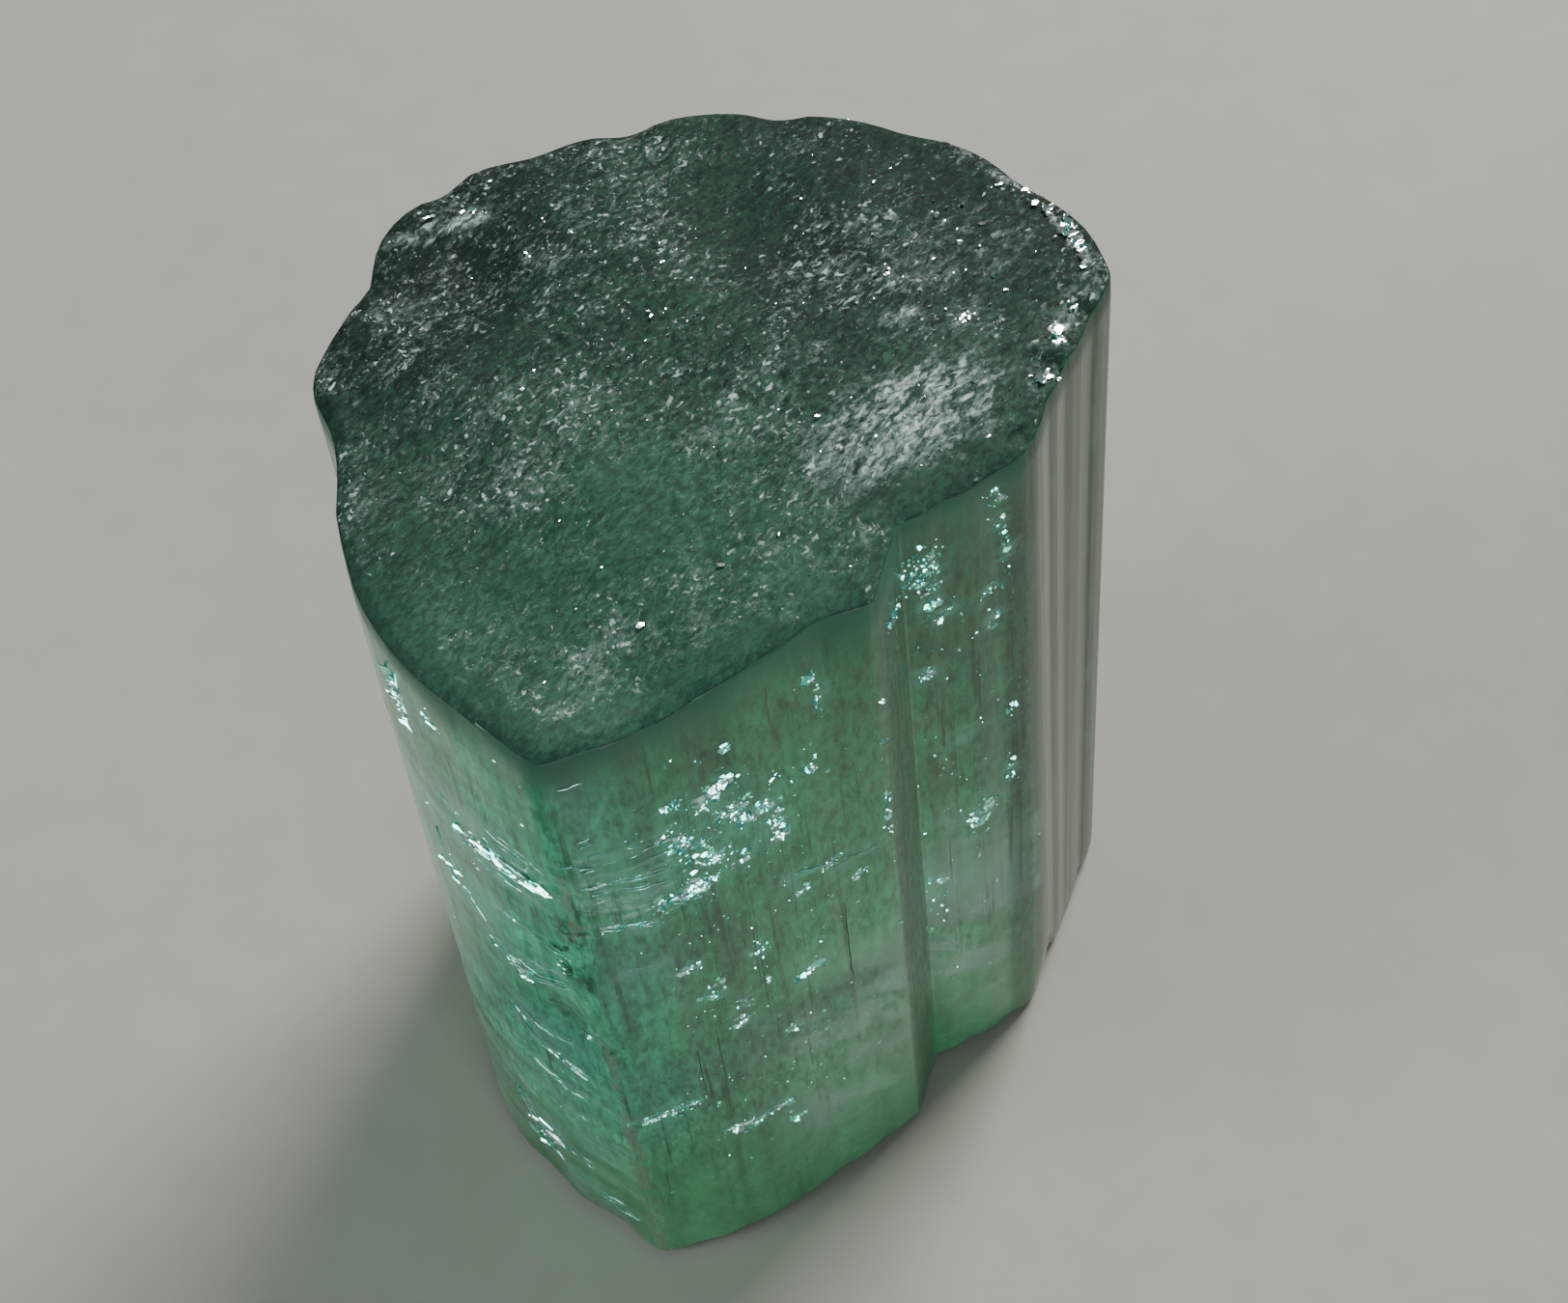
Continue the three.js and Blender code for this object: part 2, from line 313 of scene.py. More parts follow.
def light_and_dark(sheet, place, y, z, left, milky, shaded):
    """How light the body is at every spot, and how crowded its marks are there: blotches, a fine grain that
    calms down to the foot, a darker back, dark lines along the length, painted sheen in bands across the
    left face, and the painted light and shade kept on the surface, darkest on its strips of painted shade."""
    blotch = sheet.noise(sheet.stretched(place, (1300, 1300, 800)), detail=5, roughness=0.65)
    shade = sheet.ramp(blotch, 0.3, 0.7, 0.80, 1.20)
    grain = sheet.noise(sheet.stretched(place, (8500, 8500, 3400)), detail=4, roughness=0.78)
    calm = sheet.times(sheet.ramp(z, 1.5 * MM, 4.5 * MM, 0.3, 1.0), sheet.rest(milky))
    coarse = sheet.times(sheet.ramp(y, 0.0, -2.5 * MM, 0.25, 0.55), calm)
    grained = sheet.times(sheet.ramp(grain, 0.3, 0.7, -1.0, 1.0), coarse)
    shade = sheet.times(shade, sheet.plus(grained, 1.0))
    shade = sheet.times(shade, sheet.ramp(y, -1 * MM, 3 * MM, 1.0, 0.6))
    lines = sheet.noise(sheet.stretched(place, (9000, 9000, 230)), detail=3, roughness=0.6)
    crowd = sheet.noise(sheet.stretched(place, (900, 900, 350)), detail=2)
    lined = sheet.times(sheet.ramp(lines, 0.54, 0.67), sheet.ramp(crowd, 0.38, 0.58))
    lined = sheet.times(lined, sheet.ramp(z, 1.5 * MM, 4.5 * MM, 0.2, 0.65))
    shade = sheet.times(shade, sheet.rest(lined))
    # Light and dark bands across the left face: painted sheen.
    across = sheet.noise(sheet.stretched(place, (170, 170, 1700)), detail=4, roughness=0.6)
    left_sheen_bands = sheet.times(left, sheet.ramp(across, 0.35, 0.65, -0.35, 0.4))
    shade = sheet.times(shade, sheet.plus(left_sheen_bands, 1.0))
    # The painted light and shade kept on the surface.
    shade = sheet.times(shade, sheet.attribute("painted_light_and_shade"))
    # Darker still on the strips of painted shade.
    return sheet.times(shade, sheet.rest(sheet.times(shaded, 0.52))), crowd


def specks_and_veils(sheet, place, y, crowd, body):
    """Pale specks, thicker where the marks crowd, in part a painted glitter of small highlights, and a
    milky veil round every crack.
    """
    # Pale specks: in part painted glitter.
    specks = sheet.noise(sheet.stretched(place, (9500, 9500, 7000)), detail=3, roughness=0.7)
    crowded = sheet.ramp(crowd, 0.35, 0.65, 0.2, 0.75)
    plenty = sheet.times(crowded, sheet.ramp(y, 0.0, -2 * MM, 0.2, 1.0))
    specks = sheet.times(sheet.ramp(specks, 0.60, 0.72), plenty)
    body = sheet.mix_colours(specks, body, (0.42, 0.88, 0.68))
    milk = sheet.noise(sheet.stretched(place, (1800, 1800, 5200), (0, 10, 0)), detail=4, roughness=0.65)
    milk = sheet.times(sheet.ramp(milk, 0.40, 0.62, 0.08, 0.85), sheet.attribute("veil"))
    return sheet.mix_colours(milk, body, (0.36, 0.98, 0.80))


def rim_band_and_chips(sheet, place, to_rim, right, body):
    """A deep green band that fades down the faces from the rim, and dark chips along the left arris."""
    edge = sheet.plus(to_rim, sheet.times(sheet.noise(place, scale=1500), 0.7))
    band = sheet.times(sheet.ramp(edge, 1.5, 0.35), sheet.rest(right))
    body = sheet.mix_colours(band, body, (0.028, 0.27, 0.165))
    crumbled = sheet.ramp(sheet.noise(place, scale=7000, detail=3), 0.40, 0.58, 0.15, 0.95)
    pitted = sheet.times(sheet.attribute("chipped"), crumbled)
    return sheet.mix_colours(pitted, body, (0.012, 0.08, 0.05))


def tourmaline():
    """See-through green crystal: glassy prism faces, a dark band under the rim, worn arrises."""
    sheet = NodeSheet("tourmaline")
    place = sheet.place()
    _, y, z = sheet.vector_parts(place)
    to_rim = sheet.attribute("rim_gap")
    left = sheet.attribute("left_wall")
    right = sheet.attribute("right_wall")
    shaded = sheet.attribute("shaded")

    body = clouds_of_colour(sheet, place, z, left, right)

    # Milky wisps near the foot of the front faces.
    wisp = sheet.noise(sheet.stretched(place, (260, 260, 900), (0, 35, 0)), detail=4, roughness=0.55)
    milky = sheet.times(sheet.ramp(wisp, 0.45, 0.60), sheet.attribute("milky"))
    body = sheet.mix_colours(sheet.times(milky, 0.9), body, (0.50, 0.90, 0.72))

    body = sheen_streaks_and_casts(sheet, place, left, body)
    shade, crowd = light_and_dark(sheet, place, y, z, left, milky, shaded)
    body = sheet.scaled(body, shade)
    body = specks_and_veils(sheet, place, y, crowd, body)
    body = rim_band_and_chips(sheet, place, to_rim, right, body)

    # The front left arris is rubbed to a pale beige in places.
    rub = sheet.noise(sheet.stretched(place, (4200, 4200, 2200)), detail=4, roughness=0.75)
    worn = sheet.plus(sheet.attribute("rubbed"), sheet.ramp(rub, 0.3, 0.7, -0.5, 0.5))
    worn = sheet.times(sheet.ramp(worn, 0.45, 0.9), 0.6)
    body = sheet.mix_colours(worn, body, (0.55, 0.60, 0.47))

    # Grooves along the length, and soft smears that trouble the reflections.
    grooves = sheet.noise(sheet.stretched(place, (6000, 6000, 90)), detail=3)
    normal = sheet.bump(grooves, 0.25, 0.015 * MM)
    smear = sheet.noise(sheet.stretched(place, (900, 900, 250)), detail=3)
    normal = sheet.bump(smear, 0.3, 0.03 * MM, normal)

    # The rounded back is duller than the flat faces, and so are the rim, the wear and the wisps.
    roughness = sheet.plus(sheet.times(worn, 0.4), sheet.ramp(y, -1 * MM, 2.5 * MM, 0.14, 0.3))
    roughness = sheet.plus(roughness, sheet.times(milky, 0.08))
    roughness = sheet.plus(roughness, sheet.ramp(to_rim, 0.5, 0.1, 0.0, 0.25))
    roughness = sheet.plus(roughness, sheet.times(shaded, 0.2))
    sheet.finish(
        base=body, roughness=roughness, normal=normal, clear=0.7, ior=REFRACTION, depths=SOAK
    )
    return sheet.material


def break_colour_with_painted_light_and_shade(sheet, place, x, y):
    """Darkest towards the back and the sides, and clearer green towards the front, where it thins to the
    rim: painted shade at the back and sides, and painted light at the front, where light comes up through
    the thin edge of the break."""
    depth = sheet.ramp(sheet.noise(place, scale=330, detail=4, roughness=0.6), 0.36, 0.66)
    back = sheet.mix_colours(depth, (0.003, 0.018, 0.009), (0.009, 0.042, 0.023))
    front = sheet.mix_colours(depth, (0.015, 0.070, 0.039), (0.034, 0.112, 0.068))
    body = sheet.mix_colours(sheet.ramp(y, 2.8 * MM, -3.0 * MM), back, front)
    body = sheet.scaled(body, sheet.ramp(x, -4.5 * MM, -1.0 * MM, 0.75, 1.1))
    return sheet.scaled(body, sheet.ramp(x, 0.0, 2.0 * MM, 1.0, 0.7))


def frost_and_painted_sparkle(sheet, place, strayed, along, x, pale):
    """How strong the frost's strokes are at every spot, and how plentiful: faint ones everywhere, crumbs
    more to the left and bright strokes more to the right, and broad streaks on the pale patches. Their pale
    colour is frost, and in the bright strokes also painted sparkle."""
    zone = sheet.noise(place, scale=480, detail=3)
    clump = sheet.noise(along, scale=1700, detail=3)
    wide = sheet.ramp(zone, 0.3, 0.7, -0.075, 0.05)
    plenty = sheet.plus(wide, sheet.ramp(clump, 0.3, 0.7, -0.04, 0.04))
    faint = sheet.plus(sheet.noise(along, scale=8500, detail=3, roughness=0.7), plenty)
    faint = sheet.times(sheet.ramp(faint, 0.50, 0.74), 0.21)
    bright = sheet.plus(sheet.noise(along, scale=6500, detail=1), plenty)
    crumbs = sheet.plus(sheet.noise(strayed, scale=11500, detail=2), plenty)
    leftward = sheet.ramp(x, -3 * MM, 3 * MM, 0.08, -0.08)
    mixed = sheet.plus(sheet.noise(place, scale=900, detail=3), leftward)
    bright = sheet.times(sheet.ramp(bright, 0.66, 0.77), sheet.ramp(mixed, 0.42, 0.6, 0.95, 0.15))
    crumbs = sheet.times(sheet.ramp(crumbs, 0.64, 0.75), sheet.ramp(mixed, 0.40, 0.58, 0.2, 1.0))
    streak = sheet.stretched(strayed, (1, 3.4, 1.5), (0, 0, 44))
    streak = sheet.noise(streak, scale=2600, detail=4, roughness=0.65)
    streak = sheet.plus(streak, sheet.times(pale, 0.13))
    dappled = sheet.ramp(sheet.noise(along, scale=8500, detail=2), 0.38, 0.62, 0.1, 1.0)
    patches = sheet.math("MULTIPLY", pale, dappled, clamp=True)
    streak = sheet.times(sheet.ramp(streak, 0.54, 0.74), patches)
    return sheet.most(sheet.most(faint, sheet.most(bright, crumbs)), streak), plenty


def broken_tourmaline():
    """The break across the top: dark green under a frost of minute pale flakes, all lying one way; the
    brightest strokes are in part painted sparkle, and the green has painted light and shade.
    """
    sheet = NodeSheet("broken tourmaline")
    place = sheet.place()
    x, y, _ = sheet.vector_parts(place)
    # Pale patches: frost, partly a painted glare.
    pale = sheet.attribute("pale_patch")
    fringe = sheet.noise(place, scale=2200, detail=4, roughness=0.65)
    inside = sheet.ramp(sheet.plus(sheet.attribute("frosted"), fringe), 0.75, 1.15)
    # The break's green, with painted shade towards the back and sides and painted light towards the front.
    body = break_colour_with_painted_light_and_shade(sheet, place, x, y)

    # The frost's short strokes, pale and in part painted sparkle, lie one way, and stray a little so that
    # they are crooked.
    strayed = sheet.scaled(sheet.stray(place, 6000), 0.13 * MM)
    strayed = sheet.vector_math("ADD", place, strayed)
    along = sheet.stretched(strayed, (1, 1.8, 1.4), (0, 0, 42))
    strokes, plenty = frost_and_painted_sparkle(sheet, place, strayed, along, x, pale)
    strokes = sheet.times(strokes, sheet.plus(sheet.times(inside, 0.94), 0.06))

    # Under it lie an uneven grain, and a haze that is thickest on the pale patches.
    grain = sheet.noise(along, scale=7000, detail=4, roughness=0.75)
    haze = sheet.plus(sheet.times(pale, 0.3), sheet.ramp(y, 3 * MM, -2 * MM, 0.025, 0.08))
    haze = sheet.times(sheet.ramp(sheet.plus(grain, plenty), 0.4, 0.72), haze)
    haze = sheet.times(haze, inside)
    coarse = sheet.ramp(y, 1 * MM, -3 * MM, 0.65, 0.4)
    grained = sheet.times(sheet.ramp(grain, 0.3, 0.7, -1.0, 1.0), coarse)
    body = sheet.scaled(body, sheet.plus(grained, 1.0))
    mist = sheet.mix_colours(pale, (0.28, 0.46, 0.37), (0.50, 0.60, 0.58))
    body = sheet.mix_colours(haze, body, mist)
    # The pale colour of the strokes: frost, with painted sparkle in the bright strokes.
    body = sheet.mix_colours(strokes, body, (0.59, 0.74, 0.67))

    # Every flake is tilted its own way and catches the light on its own.
    normal = sheet.tilted(sheet.scaled(sheet.stray(along, 11000), sheet.ramp(strokes, 0.1, 0.6, 0.35, 1.7)))
    roughness = sheet.math("SUBTRACT", 0.75, sheet.times(strokes, 0.4))
    sheet.finish(
        base=body, roughness=roughness, normal=normal, clear=0.15, ior=REFRACTION, gloss=0.12, depths=SOAK
    )
    return sheet.material


def healed_crack():
    """The bright skin of the small cracks inside, which mirror the light: blue-green in the faces, and
    whiter on the flakes that face up from the break."""
    sheet = NodeSheet("healed crack")
    place = sheet.place()
    blend = sheet.ramp(sheet.noise(place, scale=6000, detail=2), 0.42, 0.58)
    tint = sheet.mix_colours(blend, (0.16, 0.82, 0.72), (0.66, 1.0, 0.94))
    facing_up = sheet.ramp(sheet.vector_parts(sheet.normal())[2], 0.80, 0.88)
    tint = sheet.mix_colours(facing_up, tint, (0.80, 0.90, 0.87))
    normal = sheet.tilted(sheet.scaled(sheet.stray(place, 20000), 0.32))
    sheet.finish(base=tint, roughness=0.15, normal=normal, metallic=1.0)
    return sheet.material


def growth_tube():
    """The dull dark lining of the fine tubes that run along the crystal."""
    sheet = NodeSheet("growth tube")
    blend = sheet.noise(sheet.place(), scale=2000)
    tint = sheet.mix_colours(blend, (0.012, 0.05, 0.033), (0.035, 0.10, 0.07))
    sheet.finish(base=tint, roughness=0.5)
    return sheet.material


# ---- The solid, as a gauge for placing things ----

SHARP_EDGE = 24  # degrees between two faces, from which the edge between them counts as an arris
EDGE_STEPS = 6  # each edge of the solid gives this many steps along an arris


def read_solid():
    """The solid as a tree for straight lines to meet, and points all along its sharp upright edges."""
    work = bmesh.new()
    work.from_mesh(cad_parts["tourmaline_crystal"].data)
    bmesh.ops.remove_doubles(work, verts=work.verts, dist=WELD * MM)
    points = []
    for edge in work.edges:
        start, end = (vertex.co / MM for vertex in edge.verts)
        along = end - start
        upright = abs(along.z) > 0.8 * along.length
        if upright and edge.calc_face_angle(0) > math.radians(SHARP_EDGE):
            points += [start.lerp(end, step / EDGE_STEPS) for step in range(EDGE_STEPS + 1)]
    tree = BVHTree.FromBMesh(work)
    work.free()
    return tree, points


SOLID, ARRISES = read_solid()

# Straight lines start well outside the crystal: this far in front of it or to its left, and this high up.
OUTSIDE = -9
ABOVE = 20


def wall_spot(start, towards, depth):
    """A point this deep under the wall that a straight line from outside meets, with the wall's
    own direction there. The start and the depth are in millimetres, the point in metres."""
    spot, normal, _, _ = SOLID.ray_cast(Vector(start) * MM, Vector(towards))
    if spot is None:
        return None, None
    return spot - normal * depth * MM, normal


def front_spot(x, z, depth):
    return wall_spot((x, OUTSIDE, z), (0, 1, 0), depth)


def left_spot(y, z, depth):
    return wall_spot((OUTSIDE, y, z), (1, 0, 0), depth)


def top_spot(x, y, depth):
    return wall_spot((x, y, ABOVE), (0, 0, -1), depth)


# ---- Where the marks are ----

# Chips on and beside the front left arris: place and reach in millimetres.
ARRIS_CHIPS = (
    (-2.6, -4.85, 10.1, 0.42),
    (-2.65, -4.9, 8.9, 0.40),
    (-2.95, -4.5, 7.35, 0.38),
    (-2.6, -4.95, 6.85, 0.34),
)

# Pale patches on the break, partly frost and partly a painted glare: middle, half length, half width and
# turn, and how pale.
PALE_SPOTS = (
    (2.35, -0.8, 1.5, 0.8, 30, 1.0),
    (3.2, -0.6, 0.6, 0.35, 40, 0.8),
    (2.5, 0.8, 0.35, 0.2, 20, 0.9),
    (3.3, 0.7, 0.35, 0.12, 40, 0.7),
    (3.4, 1.8, 1.3, 0.9, 45, 0.35),
    (4.2, 3.0, 0.4, 0.12, 140, 0.8),
    (4.8, 1.9, 0.6, 0.1, 112, 1.0),
    (4.5, 0.6, 0.35, 0.15, 60, 0.8),
    (4.0, -0.4, 0.3, 0.15, 60, 0.7),
    (-3.1, 3.5, 0.9, 0.2, 12, 1.0),
    (-2.1, 2.85, 0.12, 0.3, 20, 0.7),
    (-1.7, 2.6, 0.3, 0.2, 20, 0.5),
    (-3.6, 2.2, 0.3, 0.25, 60, 0.4),
    (-0.6, -3.4, 0.5, 0.3, 20, 0.3),
    (-1.8, -3.8, 0.4, 0.3, 30, 0.3),
)

# Swarms of glinting cracks behind the front faces: middle across and up, spread across and up, how many
# flakes there are, counted by fours, and how long each is. The last three are a thin sprinkle all over.
GLINTS = (
    (-0.5, 12.25, 0.13, 0.07, 10, 0.19),
    (-0.25, 11.65, 0.06, 0.05, 3, 0.13),
    (-1.05, 12.35, 0.08, 0.05, 5, 0.13),
    (-0.65, 12.0, 0.07, 0.06, 4, 0.14),
    (-0.45, 11.55, 0.10, 0.08, 7, 0.15),
    (-0.2, 11.3, 0.13, 0.08, 9, 0.15),
    (0.05, 11.25, 0.07, 0.06, 5, 0.15),
    (0.2, 10.8, 0.05, 0.12, 6, 0.15),
    (0.2, 10.45, 0.08, 0.08, 7, 0.17),
    (-1.15, 11.8, 0.06, 0.05, 4, 0.12),
    (-1.05, 11.5, 0.10, 0.10, 7, 0.12),
    (-0.85, 11.2, 0.12, 0.22, 14, 0.12),
    (-0.7, 10.8, 0.12, 0.12, 9, 0.13),
    (-1.0, 10.35, 0.2, 0.07, 44, 0.13),
    (-0.35, 10.45, 0.08, 0.08, 4, 0.13),
    (-0.3, 12.95, 0.02, 0.03, 2, 0.14),
    (-0.65, 12.95, 0.02, 0.03, 2, 0.10),
    (0.65, 11.55, 0.05, 0.05, 3, 0.16),
    (0.25, 11.7, 0.04, 0.03, 2, 0.12),
    (0.35, 8.8, 0.08, 0.03, 4, 0.13),
    (-0.3, 8.1, 0.05, 0.25, 7, 0.10),
    (-0.25, 7.25, 0.02, 0.04, 2, 0.15),
    (0.3, 6.7, 0.08, 0.03, 5, 0.15),
    (-1.2, 8.5, 0.08, 0.06, 5, 0.12),
    (-0.95, 7.6, 0.10, 0.12, 6, 0.11),
    (-0.6, 6.95, 0.10, 0.10, 7, 0.12),
    (-0.7, 6.5, 0.08, 0.10, 4, 0.10),
    (-0.05, 5.5, 0.03, 0.03, 2, 0.15),
    (0.8, 9.1, 0.08, 0.04, 4, 0.12),
    (1.15, 8.4, 0.07, 0.04, 3, 0.12),
    (1.6, 9.1, 0.03, 0.10, 2, 0.12),
    (1.6, 9.8, 0.03, 0.10, 3, 0.10),
    (1.6, 11.0, 0.03, 0.15, 1, 0.09),
    (1.65, 12.0, 0.03, 0.08, 1, 0.10),
    (0.8, 13.3, 0.03, 0.03, 2, 0.14),
    (0.85, 12.85, 0.03, 0.15, 4, 0.10),
    (-2.05, 4.75, 0.2, 0.06, 14, 0.10),
    (-1.65, 4.9, 0.14, 0.05, 8, 0.09),
    (-1.05, 3.55, 0.09, 0.05, 6, 0.15),
    (-0.55, 3.45, 0.2, 0.06, 9, 0.10),
    (-0.2, 2.85, 0.07, 0.05, 4, 0.14),
    (2.3, 13.05, 0.12, 0.28, 30, 0.09),
    (1.9, 12.95, 0.05, 0.04, 4, 0.14),
    (2.4, 12.3, 0.04, 0.04, 4, 0.15),
    (2.55, 11.95, 0.07, 0.06, 5, 0.13),
    (2.5, 12.8, 0.03, 0.30, 6, 0.10),
    (3.3, 13.65, 0.05, 0.06, 5, 0.13),
    (3.3, 13.1, 0.06, 0.10, 6, 0.10),
    (3.45, 12.4, 0.04, 0.30, 6, 0.09),
    (3.2, 11.85, 0.07, 0.06, 4, 0.12),
    (3.25, 11.2, 0.05, 0.08, 5, 0.12),
    (2.3, 10.85, 0.05, 0.06, 4, 0.13),
    (3.5, 8.95, 0.03, 0.08, 3, 0.12),
    (3.0, 6.75, 0.12, 0.12, 8, 0.14),
    (3.45, 7.4, 0.05, 0.20, 5, 0.12),
    (2.3, 5.2, 0.10, 0.60, 5, 0.12),
    (-0.4, 10.5, 1.0, 1.6, 60, 0.05),
    (-0.3, 6.0, 0.9, 1.8, 40, 0.05),
    (2.8, 9.0, 0.4, 2.0, 30, 0.06),
)

# The same on the left face, by how far back it is instead of across, with the flakes counted one by one.
LEFT_GLINTS = (
    (-2.9, 13.0, 0.03, 0.22, 30, 0.35),
    (-2.95, 12.6, 0.03, 0.15, 14, 0.3),
    (-3.6, 13.2, 0.05, 0.15, 10, 0.25),
    (-3.5, 11.15, 0.05, 0.08, 10, 0.3),
    (-4.3, 11.0, 0.18, 0.03, 60, 0.6),
    (-4.55, 10.95, 0.08, 0.03, 24, 0.5),
    (-3.9, 10.8, 0.15, 0.05, 24, 0.4),
    (-3.1, 9.2, 0.12, 0.35, 16, 0.25),
    (-3.9, 7.95, 0.25, 0.10, 14, 0.3),
    (-4.3, 5.65, 0.2, 0.05, 14, 0.4),
    (-3.5, 2.0, 0.15, 0.30, 12, 0.4),
    (-4.7, 8.95, 0.04, 0.10, 8, 0.12),
    (-4.6, 7.35, 0.06, 0.10, 10, 0.12),
    (-4.65, 6.9, 0.04, 0.08, 6, 0.12),
    (-3.8, 9.5, 0.5, 2.0, 26, 0.12),
)

# And on the break, by across and back: single sparks, and the bright splinters along the right rim.
TOP_GLINTS = (
    (-1.5, 1.0, 1.6, 1.4, 60, 0.08),
    (0.5, 0.0, 1.8, 1.8, 40, 0.08),
    (3.2, 1.6, 0.7, 0.8, 50, 0.12),
    (0.0, 3.2, 1.6, 0.5, 20, 0.09),
    (2.3, -0.9, 0.8, 0.4, 30, 0.11),
    (-1.0, -2.8, 1.4, 0.6, 10, 0.14),
    (4.2, 3.0, 0.12, 0.12, 14, 0.14),
    (4.4, 2.7, 0.08, 0.12, 16, 0.15),
    (4.6, 2.4, 0.05, 0.12, 14, 0.16),
    (4.8, 2.1, 0.04, 0.22, 24, 0.2),
    (4.9, 1.6, 0.03, 0.14, 24, 0.22),
    (4.4, 0.3, 0.04, 0.08, 24, 0.28),
    (4.65, 0.8, 0.03, 0.08, 8, 0.2),
    (4.05, -0.4, 0.04, 0.04, 12, 0.18),
    (4.2, -0.3, 0.05, 0.02, 8, 0.18),
    (-3.0, 3.65, 0.30, 0.06, 16, 0.12),
    (-2.1, 2.9, 0.04, 0.15, 10, 0.12),
    (3.35, 0.7, 0.08, 0.05, 10, 0.15),
)

# Level cracks seen from their edges, each a bundle of strands: its course by (how far back, height) on the
# left face and by (across, height) on the front, how thick a strand is, how many strands there are, and
# how far apart in height.
LEFT_CRACKS = (
    (((-3.35, 11.4), (-3.6, 11.0)), 0.04, 4, 0.06),
    (((-3.5, 10.6), (-3.75, 10.75), (-4.1, 10.95), (-4.5, 11.0), (-4.75, 10.85)), 0.07, 6, 0.05),
    (((-4.1, 10.95), (-4.4, 11.05), (-4.75, 10.9)), 0.09, 5, 0.03),
    (((-4.0, 10.5), (-4.4, 10.6), (-4.75, 10.45)), 0.03, 4, 0.09),
    (((-3.6, 11.3), (-4.2, 11.5), (-4.7, 11.4)), 0.02, 4, 0.15),
    (((-2.95, 9.9), (-3.1, 9.0), (-3.3, 8.5)), 0.035, 4, 0.07),
    (((-3.4, 8.75), (-3.65, 8.35), (-4.0, 7.85), (-4.35, 8.1), (-4.75, 8.5)), 0.045, 3, 0.05),
    (((-3.9, 8.4), (-4.2, 8.35), (-4.5, 8.6), (-4.75, 8.8)), 0.025, 4, 0.1),
    (((-3.5, 9.5), (-3.9, 9.3), (-4.5, 9.6)), 0.02, 4, 0.2),
    (((-3.7, 6.3), (-4.0, 5.8), (-4.35, 5.65), (-4.75, 5.6)), 0.045, 6, 0.05),
    (((-3.9, 6.6), (-4.3, 6.35), (-4.6, 6.4)), 0.02, 3, 0.12),
    (((-4.1, 4.75), (-4.35, 4.7), (-4.6, 4.75)), 0.035, 3, 0.07),
    (((-3.6, 4.2), (-3.9, 3.9), (-4.4, 3.9)), 0.02, 4, 0.15),
    (((-3.25, 2.75), (-3.45, 2.2), (-3.65, 1.5), (-3.85, 1.2)), 0.045, 5, 0.07),
    (((-3.7, 2.6), (-4.0, 2.2), (-4.3, 2.2)), 0.03, 4, 0.12),
    (((-3.7, 1.2), (-3.8, 0.8), (-3.9, 0.45)), 0.04, 4, 0.06),
    (((-4.1, 1.3), (-4.4, 1.0), (-4.7, 1.1)), 0.025, 3, 0.12),
    (((-4.4, 3.05), (-4.75, 3.0)), 0.04, 2, 0.05),
)
FRONT_CRACKS = (
    (((-2.25, 13.6), (-1.6, 13.45)), 0.03, 1, 0.0),
    (((-2.0, 12.0), (-1.75, 11.95)), 0.03, 6, 0.22),
    (((-1.8, 11.7), (-1.4, 11.6)), 0.03, 8, 0.25),
    (((-2.2, 11.35), (-1.3, 11.15)), 0.035, 5, 0.10),
    (((-2.1, 10.9), (-1.3, 10.7)), 0.03, 4, 0.10),
    (((-2.3, 10.25), (-1.9, 10.1), (-1.4, 9.95)), 0.05, 4, 0.06),
    (((-2.0, 9.0), (-1.5, 8.95)), 0.02, 1, 0.0),
    (((-2.3, 4.8), (-1.5, 4.9)), 0.04, 4, 0.05),
    (((-1.1, 3.6), (-0.3, 3.45)), 0.04, 3, 0.05),
    (((0.3, 9.3), (0.9, 9.1)), 0.03, 1, 0.0),
    (((1.0, 8.9), (1.5, 8.8)), 0.02, 1, 0.0),
)

# The lips of the chips on the left arris: middle by how far back and height, half width, half height,
# where the arc starts and ends in degrees, and how thick the line is.
CHIP_LIPS = (
    (-4.7, 9.75, 0.14, 0.22, 180, 300, 0.02),
    (-4.75, 9.7, 0.10, 0.16, 200, 330, 0.014),
    (-4.65, 9.1, 0.18, 0.26, 120, 300, 0.016),
    (-4.7, 8.95, 0.12, 0.16, 60, 250, 0.014),
    (-4.5, 7.2, 0.26, 0.30, 40, 320, 0.016),
    (-4.55, 7.1, 0.14, 0.18, 200, 380, 0.014),
)

# Fine dark tubes behind the front faces: how far across, from which height to which, and how thick.
DARK_TUBES = (
    (-0.3, 3.5, 9.9, 0.03),
    (-0.35, 7.0, 9.2, 0.02),
    (0.25, 8.1, 10.0, 0.03),
    (0.25, 12.8, 13.7, 0.04),
    (-0.6, 12.4, 13.6, 0.02),
    (-0.3, 12.5, 13.3, 0.025),
    (-0.75, 4.6, 6.2, 0.02),
    (-1.05, 4.9, 6.8, 0.02),
    (-1.35, 5.0, 6.4, 0.015),
    (0.1, 3.9, 6.1, 0.02),
    (0.9, 5.5, 8.0, 0.015),
    (2.65, 5.8, 10.6, 0.025),
    (3.45, 7.4, 11.9, 0.04),
    (2.9, 9.5, 12.5, 0.015),
)

COURSE_STEP = 0.1  # how far apart the points of a course are


def along_course(course):
    """Points about a step apart, from the first corner of a course to just short of its last."""
    points = []
    for (x, y), end in zip(course, course[1:]):
        count = max(3, int(math.dist((x, y), end) / COURSE_STEP))
        for index in range(count):
            share = index / count
            points.append((x + (end[0] - x) * share, y + (end[1] - y) * share))
    return points


# ---- The crystal's surface ----


def select_only(piece):
    bpy.ops.object.select_all(action="DESELECT")
    piece.select_set(True)
    bpy.context.view_layer.objects.active = piece


def dress(piece):
    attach(piece, "root")
    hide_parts("tourmaline_crystal")


